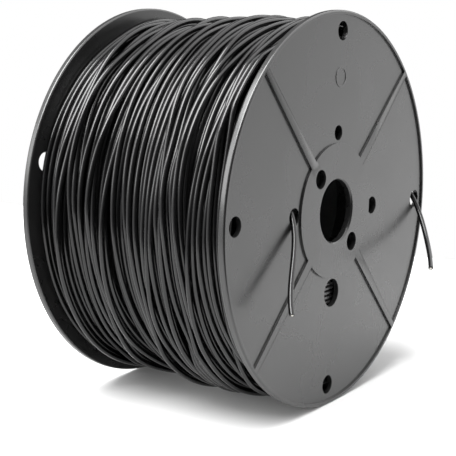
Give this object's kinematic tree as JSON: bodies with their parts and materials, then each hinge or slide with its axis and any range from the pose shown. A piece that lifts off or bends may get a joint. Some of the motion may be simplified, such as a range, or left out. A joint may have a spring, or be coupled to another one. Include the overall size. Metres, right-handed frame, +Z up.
{
  "type": "wire spool",
  "caption": "Round plastic cable spool with ribbed flanges and an axle bore, full of black single-core wire whose cut ends hang out of holes in the front flange.",
  "frame": {"origin": "centre of the spool, on its axle line, midway between the two flanges' outer faces", "axes": "+Y along the axle, from the front flange, where the wire ends come out, to the rear flange; +Z up as the spool stands on its rims"},
  "size_m": [0.25, 0.183, 0.25],
  "materials": {
    "spool_plastic": "black recycled polystyrene, injection moulded, satin",
    "barrel_plastic": "black extruded tube, satin",
    "wire_insulation": "black extruded polyethylene insulation, semi-gloss",
    "tinned_copper": "cut end of a tinned copper conductor"
  },
  "bodies": {
    "root": {"front_flange": "spool_plastic", "rear_flange": "spool_plastic", "core_barrel": "barrel_plastic", "wire_layer_01": "wire_insulation", "wire_layer_02": "wire_insulation", "wire_layer_03": "wire_insulation", "wire_layer_04": "wire_insulation", "wire_layer_05": "wire_insulation", "wire_layer_06": "wire_insulation", "wire_layer_07": "wire_insulation", "wire_layer_08": "wire_insulation", "wire_layer_09": "wire_insulation", "wire_layer_10": "wire_insulation", "wire_layer_11": "wire_insulation", "wire_layer_12": "wire_insulation", "wire_layer_13": "wire_insulation", "wire_layer_14": "wire_insulation", "wire_layer_15": "wire_insulation", "wire_layer_16": "wire_insulation", "wire_layer_17": "wire_insulation", "wire_layer_18": "wire_insulation", "wire_layer_19": "wire_insulation", "wire_layer_20": "wire_insulation", "wire_layer_21": "wire_insulation", "wire_layer_22": "wire_insulation", "wire_layer_23": "wire_insulation", "wire_layer_24": "wire_insulation", "outer_end_insulation": "wire_insulation", "outer_end_conductor": "tinned_copper", "inner_end_insulation": "wire_insulation", "inner_end_conductor": "tinned_copper"}
  },
  "joints": []
}
